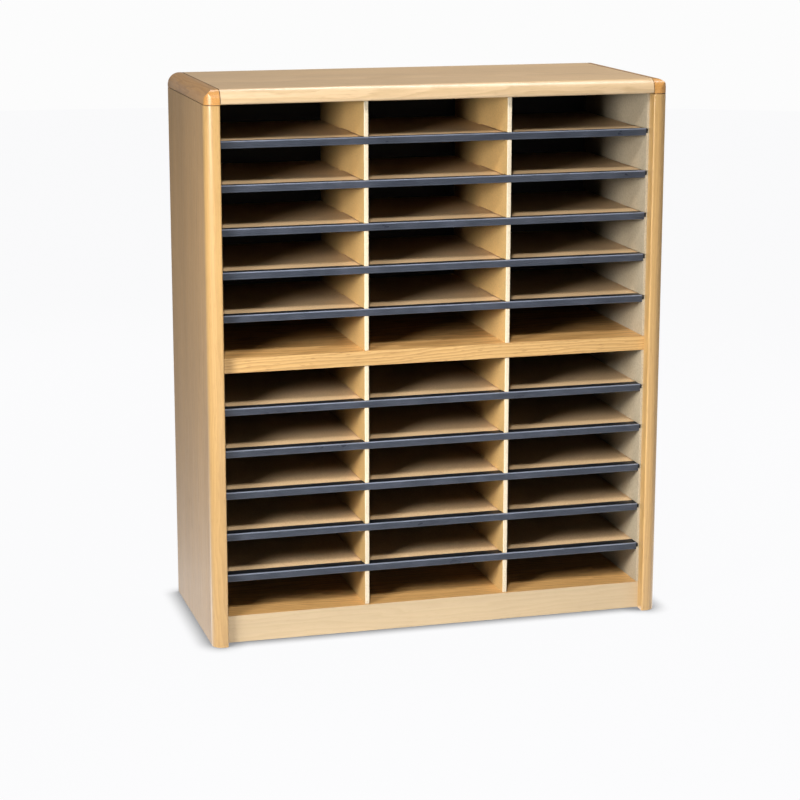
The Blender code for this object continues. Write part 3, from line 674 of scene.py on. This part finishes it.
shape = block((-POST_INNER, FRONT, TOP_UNDER), (POST_INNER, BACK, HEIGHT))
round_over(shape, edges_on(shape, y=FRONT, z=HEIGHT), NOSE_UPPER_ROUND, ROUND_STEPS)
round_over(shape, edges_on(shape, y=FRONT, z=TOP_UNDER), NOSE_LOWER_ROUND, 8)
for end in (-POST_INNER, POST_INNER):
    round_over(shape, [e for e in edges_on(shape, x=end) if is_above(e, TOP_UNDER)], SEAM_BREAK, 1)
top = place_shape("nosed_top", shape)
cut(top, rebate())
for groove in dados(TOP_UNDER, 1):
    cut(top, groove)
give(top, top_laminate, seam_shade, underside_shade)
for face in top.data.polygons:
    # The broken end edges take the painted seam shade.
    if 0.2 < abs(face.normal.x) < 0.98 and abs(face.center.x) > POST_INNER - SEAM_BREAK:
        face.material_index = 1
    # The underside takes the dark sheet, painted shade for the compartments below.
    elif face.normal.z < -0.98:
        face.material_index = 2
soften(top)
stand_for(top, "oak_laminate", "root", "top_panel")
print(top.name, "faces", len(top.data.polygons))

# %% [markdown]
# ## Side panels
#
# Chipboard faced with oak-grain laminate. The faces and the foot are laminated and the rear edge is
# left raw, as on most such cases, so that edge gets the chipboard finish. The arrises are barely
# broken.

# %% Make the two side panels
def bare_rear(piece, extra):
    """Give the faces that look backwards the second finish."""
    piece.data.materials.append(extra)
    for face in piece.data.polygons:
        if face.normal.y > 0.9:
            face.material_index = 1


for side, sign in SIDES.items():
    node = f"side_panel_{side}"
    low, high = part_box(node)
    low.x, high.x = sorted((sign * SIDE_INNER, sign * SIDE_OUTER))
    high.y = BACK
    shape = block(low, high)
    round_over(shape, edges_on(shape, x=sign * SIDE_OUTER, y=BACK), CRISP_EDGE, 2)
    round_over(shape, edges_on(shape, x=sign * SIDE_OUTER, z=low.z), CRISP_EDGE, 2)
    panel = place_shape(f"side_board_{side}", shape)
    cut(panel, rebate())
    give(panel, upright_laminate)
    bare_rear(panel, raw_chipboard)
    soften(panel)
    stand_for(panel, "oak_laminate", "root", node)
    print(panel.name, [round(c, 4) for c in high - low])

# %% [markdown]
# ## Fixed shelves and kick plate
#
# The middle shelf ties the sides together. The bottom shelf and the kick plate are mitred along
# their common edge, so no raw edge shows. The kick plate's upper edge is eased, and a cream tone on
# it is a painted highlight along the arris. Each shelf has two pockets under each end for cam
# locks, and stopped grooves for the dividers. A mitre is a block cut by a tilted plane, with the
# hole closed again.

# %% Make the middle shelf, the bottom shelf and the kick plate
CAM_RADIUS = 7.5 * MM
KICK_ARRIS = 1.3 * MM
ROUND_SIDES = 32


def cylinder(middle, radius, bottom, top):
    """An upright cylinder about a point, between two levels."""
    shape = bmesh.new()
    place = Matrix.Translation((middle.x, middle.y, (bottom + top) / 2))
    bmesh.ops.create_cone(
        shape, cap_ends=True, segments=ROUND_SIDES, radius1=radius, radius2=radius,
        depth=top - bottom, matrix=place,
    )
    return shape


def cam_pockets(label, under):
    """Cutters for the pockets of the cams at both ends of a shelf, open at its underside."""
    for side in SIDES:
        for row in ("front", "back"):
            low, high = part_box(f"cam_{label}_{side}_{row}")
            yield cylinder((low + high) / 2, CAM_RADIUS + FIT, under - PAST, high.z + FIT)


END = SIDE_INNER - FIT
low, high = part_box("middle_shelf")
INSIDE_BACK = back_low.y - FIT
shape = block((-END, CASE_FRONT, low.z), (END, INSIDE_BACK, high.z))
for level in (low.z, high.z):
    round_over(shape, edges_on(shape, y=CASE_FRONT, z=level), EASED_EDGE, 4)
middle = place_shape("fixed_shelf_middle", shape)
for cutter in (*dados(high.z, -1), *dados(low.z, 1), *cam_pockets("middle", low.z)):
    cut(middle, cutter)
give(middle, shelf_laminate, shelf_band, underside_shade)
for face in middle.data.polygons:
    if face.center.y < CASE_FRONT + EASED_EDGE:
        face.material_index = 1
    # The underside takes the dark sheet, painted shade for the compartments below.
    elif face.normal.z < -0.9:
        face.material_index = 2
soften(middle)
stand_for(middle, "oak_laminate", "root", "middle_shelf")

low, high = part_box("bottom_shelf")
BASE_TOP, BASE_UNDER = high.z, low.z
thick = BASE_TOP - BASE_UNDER
lap = FIT / sin(pi / 4)
shape = block((-END, CASE_FRONT, BASE_UNDER), (END, INSIDE_BACK, BASE_TOP))
bmesh.ops.bisect_plane(
    shape, geom=[*shape.verts, *shape.edges, *shape.faces], clear_inner=True,
    plane_co=(0, CASE_FRONT + lap, BASE_TOP), plane_no=(0, 1, 1),
)
bmesh.ops.holes_fill(shape, edges=[edge for edge in shape.edges if edge.is_boundary])
bottom = place_shape("fixed_shelf_bottom", shape)
for cutter in (*dados(BASE_TOP, -1), *cam_pockets("base", BASE_UNDER)):
    cut(bottom, cutter)
give(bottom, shelf_laminate)
soften(bottom)
stand_for(bottom, "oak_laminate", "root", "bottom_shelf")

low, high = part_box("kick_plate")
shape = block((-END, CASE_FRONT, low.z), (END, CASE_FRONT + thick, BASE_TOP))
bmesh.ops.bisect_plane(
    shape, geom=[*shape.verts, *shape.edges, *shape.faces], clear_outer=True,
    plane_co=(0, CASE_FRONT, BASE_TOP), plane_no=(0, 1, 1),
)
bmesh.ops.holes_fill(shape, edges=[edge for edge in shape.edges if edge.is_boundary])
round_over(shape, edges_on(shape, y=CASE_FRONT, z=BASE_TOP), KICK_ARRIS, 3)
kick = place_shape("mitred_kick_plate", shape)
give(kick, kick_laminate, cream_strip_and_highlight)
# The eased upper arris takes the cream finish, a painted highlight.
for face in kick.data.polygons:
    if face.center.z > BASE_TOP - KICK_ARRIS and -0.98 < face.normal.y < -0.1:
        face.material_index = 1
soften(kick)
stand_for(kick, "edge_laminate", "root", "kick_plate")
print("fixed shelves and kick plate made")

# %% [markdown]
# ## Eased copies
#
# The dividers, linings and label mouldings have the right section already, only with knife-sharp
# edges. A copy of the solid's mesh is merged, its flat triangles are joined into whole faces, and
# the edges that show are bevelled, a label moulding's by a tenth of a millimetre and a divider's
# front edge to a round, so that they catch the light.

# %% Copy a solid and ease its edges
def eased_copy(name, node, width, steps, chosen):
    """A new object with the solid's mesh, whose chosen edges are bevelled."""
    shape = bmesh.new()
    shape.from_mesh(nodes[node].data)
    bmesh.ops.remove_doubles(shape, verts=shape.verts, dist=TOUCH / 2)
    bmesh.ops.dissolve_limit(
        shape, angle_limit=radians(1), use_dissolve_boundaries=False,
        verts=shape.verts, edges=shape.edges, delimit=set(),
    )
    edges = [edge for edge in shape.edges if chosen(edge)]
    round_over(shape, edges, width, steps)
    return place_shape(name, shape)


def is_front_upright(edge):
    """An upright edge of the divider's front."""
    a, b = (corner.co for corner in edge.verts)
    on_front = abs(a.y - LABEL_FRONT) < TOUCH and abs(b.y - LABEL_FRONT) < TOUCH
    return on_front and abs(a.x - b.x) < TOUCH


def is_long_arris(edge):
    """An edge along the width, longer than the ends and the notches have."""
    a, b = (corner.co for corner in edge.verts)
    return abs(a.x - b.x) > 0.1 and len(edge.link_faces) == 2


# %% [markdown]
# ## Slots in the dividers
#
# A divider and a shelf are slotted halfway into each other, as in a wine crate. A slot is cut a
# little taller than its board, and the gap shows as a dark line above each board. So the copy of
# the divider gets a thin block cut out above every board, and its front edge gets the cream strip.

# %% Ease the dividers and face their front edges with the cream strip
DIVIDER_ROUND = 1.4 * MM
STRIP_THICK = 1.6 * MM
SLOT_SHOWS = 1.8 * MM
LAP = (LABEL_FRONT + INSIDE_BACK) / 2
SLOT_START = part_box("label_moulding_upper_1")[1].y + FIT


def slots(section, start, end, left, right):
    """Blocks that open each slot a little above its board, where a dark line shows."""
    for number in range(1, SHELVES + 1):
        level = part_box(f"shelf_board_{section}_{number}")[1].z
        yield block((left, start, level - FIT), (right, end, level + SLOT_SHOWS))


for section in SECTIONS:
    for number in range(1, DIVIDERS + 1):
        node = f"divider_{section}_{number}"
        name = f"eased_divider_{section}_{number}"
        divider = eased_copy(name, node, DIVIDER_ROUND, 4, is_front_upright)
        low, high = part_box(node)
        for slot in slots(section, SLOT_START, LAP, low.x - PAST, high.x + PAST):
            cut(divider, slot)
        give(divider, divider_board, cream_strip_and_highlight)
        for face in divider.data.polygons:
            if face.center.y < LABEL_FRONT + STRIP_THICK:
                face.material_index = 1
        soften(divider)
        stand_for(divider, "divider_board", "root", node)
    print("dividers eased in the", section, "half")

# %% [markdown]
# ## Grooves in the linings
#
# The ends of the shelves run in grooves of the lining boards. They are milled with the same play
# above the board as the slots of the dividers, so the same cutter blocks open them.

# %% Open the grooves of the linings
def is_front_inner(edge):
    """The front upright edge towards the compartments."""
    a, b = (corner.co for corner in edge.verts)
    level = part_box("liner_upper_right")[0]
    upright = abs(a.x - b.x) < TOUCH and abs(a.y - b.y) < TOUCH
    return upright and abs(a.y - level.y) < TOUCH and abs(abs(a.x) - level.x) < TOUCH


board_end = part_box("shelf_board_upper_1")[1].x
for section in SECTIONS:
    for side, sign in SIDES.items():
        node = f"liner_{section}_{side}"
        lining = eased_copy(f"grooved_lining_{section}_{side}", node, CRISP_EDGE, 2, is_front_inner)
        low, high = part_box(node)
        face = sign * min(abs(low.x), abs(high.x))
        left, right = sorted((face - sign * PAST, sign * board_end))
        past_rear = high.y + (high.y - low.y)
        for slot in slots(section, LABEL_FRONT, past_rear, left, right):
            cut(lining, slot)
        give(lining, liner_board)
        soften(lining)
        stand_for(lining, "liner_board", "root", node)
print("linings grooved, board ends at", round(board_end, 4))

# %% [markdown]
# ## Label mouldings
#
# A label moulding is an extruded strip that grips the front edge of a shelf and holds a paper
# label between its lips. Its ribs and lips are in the solid already. The copy has its long edges
# eased, and every face is given one of three finishes by its place: the ribbed face, the flanges
# behind it in a darker painted shade, or the top lip in a paler painted highlight.

# %% Ease the label mouldings
LABEL_EASE = 0.12 * MM
LABEL_CREASE = 35  # low enough to keep the 45 degree sides of the ribs crisp
LIP = 2.0 * MM
WALL = 2.0 * MM


def label_finish(face, top_level):
    """0 is the ribbed face, 1 the flanges behind it, painted shade, 2 the rounded top lip, painted
    highlight.
    """
    if face.center.y > LABEL_FRONT + WALL:
        return 1
    return 2 if face.center.z > top_level - LIP else 0


for section in SECTIONS:
    for number in range(1, SHELVES + 1):
        node = f"label_moulding_{section}_{number}"
        name = f"label_strip_{section}_{number}"
        strip = eased_copy(name, node, LABEL_EASE, 2, is_long_arris)
        give(strip, label_plastic, shadow_plastic, lip_highlight_plastic)
        top_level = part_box(node)[1].z
        for face in strip.data.polygons:
            face.material_index = label_finish(face, top_level)
        soften(strip, LABEL_CREASE)
        stand_for(strip, "label_plastic", f"shelf_{section}_{number}", node)
print("label mouldings eased:", SHELVES * len(SECTIONS), "faces each", len(strip.data.polygons))

# %% [markdown]
# ## Back screws
#
# The back panel is held by pan-head screws with a cross recess. A head is a short cone with its rim
# rounded, and the recess is two thin crossed blocks cut into it.

# %% Make the back screws
HEAD_RADIUS = 3.6 * MM
HEAD_TALL = 1.6 * MM
HEAD_ROUND = 1.1 * MM
RECESS_LONG, RECESS_NARROW = 2.1 * MM, 0.35 * MM  # half of each
RECESS_FLOOR = 0.6 * MM
TURN_STEP = 37  # degrees from one driven screw to the next, so that no two line up
SCREW_REACH = 0.43  # share of the height between the middle and the outermost side screws
SCREWS_PER_SIDE = 4
RABBET_REACH = 9.5 * MM
SEAT = BACK_FACE + FIT

head_shape = cylinder(Vector((0, 0, 0)), HEAD_RADIUS, 0.0, HEAD_TALL)
round_over(head_shape, edges_on(head_shape, z=HEAD_TALL), HEAD_ROUND, 5)
head = place_shape("screw_head", head_shape)
for half_x, half_y in ((RECESS_LONG, RECESS_NARROW), (RECESS_NARROW, RECESS_LONG)):
    cut(head, block((-half_x, -half_y, RECESS_FLOOR), (half_x, half_y, PAST)))
head_mesh = head.data
bpy.data.objects.remove(head)

edge_line = SIDE_INNER + RABBET_REACH / 2
steps = [2 * i / (SCREWS_PER_SIDE - 1) - 1 for i in range(SCREWS_PER_SIDE)]
marks = [
    (sign * edge_line, TOP_UNDER / 2 + TOP_UNDER * SCREW_REACH * step)
    for sign in SIDES.values() for step in steps
]
middle_low, middle_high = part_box("middle_shelf")
levels = (
    TOP_UNDER + RABBET_REACH / 2, (middle_low.z + middle_high.z) / 2, (BASE_UNDER + BASE_TOP) / 2
)
for number in range(1, DIVIDERS + 1):
    low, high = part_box(f"divider_upper_{number}")
    marks += [((low.x + high.x) / 2, level) for level in levels]
for number, (x, z) in enumerate(marks, 1):
    mesh = head_mesh.copy()
    turn = Matrix.Rotation(radians(TURN_STEP * number), 4, "Z")
    mesh.transform(Matrix.Translation((x, SEAT, z)) @ Matrix.Rotation(radians(-90), 4, "X") @ turn)
    screw = bpy.data.objects.new(f"back_screw_{number:02d}", mesh)
    bpy.context.scene.collection.objects.link(screw)
    give(screw, zinc)
    soften(screw)
    stand_for(screw, "zinc", "root")
print("back screws:", len(marks))

# %% [markdown]
# ## Solids that stay
#
# The shelf boards, back panel, cams and bolts already have their final shape. Their solids stay
# in view, and the shelf boards, back panel and cams take the new finishes.

# %% Finish the solids that stay
for name, node in nodes.items():
    if name.startswith("shelf_board_"):
        give(node, hardboard)
    elif name.startswith("cam_"):
        give(node, zinc)
give(nodes["back_panel"], black_board)
print("finished solids:", sum(not node.hide_render for node in nodes.values()))

# %% [markdown]
# ## Floor, lights and surroundings
#
# The object stands on a white paper sweep. The key is a soft lamp near the left front corner. It
# lights the side panel, the dividers' left faces and the fronts. A small lamp high in front lights
# what faces up and cuts the shadow under each shelf. A long one overhead lights the top, and a weak
# low one evens out the fronts. Two wide lamps at the right and behind hardly show from the camera.
# They are there so that the other sides look right too.
#
# To the camera the surroundings are nearly white, with a soft dark line where the case touches the
# floor. Ambient occlusion draws that line: it is the share of the sky that a point still sees. In
# reflections the sweep glows, up to 1.6 times white close to the object and darker further off: a
# painted reflection of a lit studio floor, so the laminate looks pale only close to the floor.

# %% Lay the floor
CONTACT_REACH = 36.0 * MM
FLOOR_RADIUS = 9.0
NEAR_SHINE = 1.6
floor_shape = bmesh.new()
bmesh.ops.create_circle(floor_shape, cap_ends=True, segments=96, radius=FLOOR_RADIUS)
floor = place_shape("studio_floor", floor_shape)
tree, shader, floor_white = new_finish("studio_floor_white", 0.9)
# What the sweep throws back onto the object; it has no shine of its own.
shader.inputs["Base Color"].default_value = (0.8, 0.8, 0.8, 1.0)
shader.inputs["Specular IOR Level"].default_value = 0.0
path = add_node(tree, "ShaderNodeLightPath")
spot = add_node(tree, "ShaderNodeTexCoord").outputs["Object"]
# Painted reflection: in a mirror the sweep glows, dimming with the distance from the case, and less
# so in front of it.
away = add_node(tree, "ShaderNodeVectorMath", {"operation": "LENGTH"}, {0: spot}).outputs["Value"]
thinning = add_node(
    tree, "ShaderNodeMath", {"operation": "DIVIDE"}, {0: 0.85, 1: away}
).outputs["Value"]
nearest = add_node(
    tree, "ShaderNodeMath", {"operation": "MINIMUM"}, {0: thinning, 1: NEAR_SHINE}
).outputs["Value"]
front_share = spread_out(tree, reading(tree, "Object", "Y"), -0.2, -0.8, 0.0, 0.75)
painted_floor_reflection = add_node(
    tree, "ShaderNodeMath", {"operation": "MAXIMUM"}, {0: nearest, 1: front_share}
).outputs["Value"]
# To the camera it is white, with a soft dark line where the case shelters it, and a trace of the
# lamps' shadows.
shelter = add_node(tree, "ShaderNodeAmbientOcclusion", {"samples": 16}, {"Distance": CONTACT_REACH})
contact = spread_out(tree, shelter.outputs["AO"], 0.45, 0.97, 0.28, 0.97)
lift = add_node(
    tree, "ShaderNodeMapRange", None,
    {"Value": path.outputs["Is Camera Ray"], "To Min": painted_floor_reflection, "To Max": contact},
).outputs["Result"]
glow = add_node(tree, "ShaderNodeEmission", None, {"Color": "#FDFDFE", "Strength": lift})
lit = add_node(tree, "ShaderNodeBsdfDiffuse", None, {"Color": (0.012, 0.012, 0.012, 1.0)})
seen = add_node(tree, "ShaderNodeAddShader", None, {0: glow.outputs[0], 1: lit.outputs[0]})
views = add_node(
    tree, "ShaderNodeMath", {"operation": "MAXIMUM"},
    {0: path.outputs["Is Camera Ray"], 1: path.outputs["Is Glossy Ray"]},
)
choice = add_node(
    tree, "ShaderNodeMixShader", None,
    {0: views.outputs["Value"], 1: shader.outputs[0], 2: seen.outputs[0]},
)
tree.links.new(choice.outputs[0], tree.nodes["Material Output"].inputs["Surface"])
give(floor, floor_white)
print("floor laid")

# %% Light the studio
def lamp(name, place, target, power, width, height, spread=180, mirrored=True):
    light = bpy.data.lights.new(name, "AREA")
    light.shape = "RECTANGLE"
    light.size, light.size_y = width, height
    light.energy = power
    light.spread = radians(spread)
    holder = bpy.data.objects.new(name, light)
    holder.location = place
    holder.rotation_euler = (Vector(target) - Vector(place)).to_track_quat("-Z", "Y").to_euler()
    holder.visible_camera = False
    holder.visible_glossy = mirrored
    bpy.context.scene.collection.objects.link(holder)
    return holder


lamp("key_softbox", (-1.43, -1.21, 1.04), (0.7, -0.15, 0.15), 9.5, 0.6, 0.35, 75)
lamp("high_front_strip", (-0.81, -2.33, 2.79), (0.0, -0.1, 0.5), 84.0, 0.3, 0.45)
lamp("overhead_lamp", (0.35, 0.05, 2.05), (0.3, 0.0, 0.9), 14.0, 1.3, 0.3)
lamp("low_front_fill", (0.1, -1.2, 0.1), (0.1, 0.0, 0.2), 1.0, 1.2, 0.15)
lamp("right_lamp", (2.2, 0.9, 1.1), (0.3, 0.0, 0.5), 34.0, 0.8, 0.9, 180, False)
lamp("rear_lamp", (-0.6, 2.6, 1.4), (0.0, 0.1, 0.5), 40.0, 1.2, 0.9, 180, False)

world = bpy.data.worlds.new("white_studio")
bpy.context.scene.world = world
world.use_nodes = True
tree = world.node_tree
background = tree.nodes["Background"]
path = add_node(tree, "ShaderNodeLightPath")
seen = add_node(
    tree, "ShaderNodeMath", {"operation": "MAXIMUM"},
    {0: path.outputs["Is Camera Ray"], 1: path.outputs["Is Glossy Ray"]},
)
seen = add_node(
    tree, "ShaderNodeMath", {"operation": "MAXIMUM"},
    {0: seen.outputs["Value"], 1: path.outputs["Is Transmission Ray"]},
)
AMBIENT = 0.03  # what the surroundings add to the light on the object
WHITE = 0.974  # what the camera sees
mirrored = spread_out(tree, reading(tree, "Generated", "Z"), 0.0, 0.35, 0.3, 0.12)
glossy = add_node(
    tree, "ShaderNodeMapRange", None,
    {"Value": path.outputs["Is Glossy Ray"], "To Min": WHITE, "To Max": mirrored},
)
strength = add_node(
    tree, "ShaderNodeMapRange", None,
    {"Value": seen.outputs["Value"], "To Min": AMBIENT, "To Max": glossy.outputs["Result"]},
)
background.inputs["Color"].default_value = (1.0, 1.0, 1.0, 1.0)
tree.links.new(strength.outputs["Result"], background.inputs["Strength"])
print("lamps lit")

# %% [markdown]
# ## Camera
#
# The camera stands a good metre left of the middle and above the top, about four metres away, and
# looks down by thirteen degrees. Its place and lens were fitted to the case's corners. A lens is
# given in pixels by such a fit, and the sensor's width turns that into millimetres.

# %% Place the camera
YAW, PITCH, ROLL = 0.27282, 0.22611, 0.00077
STAND = (-1.13753, -3.96882, 1.32948)
FOCAL_PIXELS, FRAME_PIXELS = 2335.6, 800
SENSOR_MM = 36.0
forward = Vector((sin(YAW) * cos(PITCH), cos(YAW) * cos(PITCH), -sin(PITCH)))
right = Vector((cos(YAW), -sin(YAW), 0.0))
up = right.cross(forward)
right_rolled = right * cos(ROLL) + up * sin(ROLL)
up_rolled = up * cos(ROLL) - right * sin(ROLL)
turn = Matrix((right_rolled, up_rolled, -forward)).transposed().to_4x4()
camera_data = bpy.data.cameras.new("front_view")
camera_data.sensor_width = SENSOR_MM
camera_data.sensor_fit = "HORIZONTAL"
camera_data.lens = FOCAL_PIXELS / FRAME_PIXELS * SENSOR_MM
camera = bpy.data.objects.new("front_view", camera_data)
camera.matrix_world = Matrix.Translation(STAND) @ turn
bpy.context.scene.collection.objects.link(camera)
bpy.context.scene.camera = camera
bpy.context.scene.view_settings.view_transform = "Standard"
print("lens", round(camera_data.lens, 1), "mm")
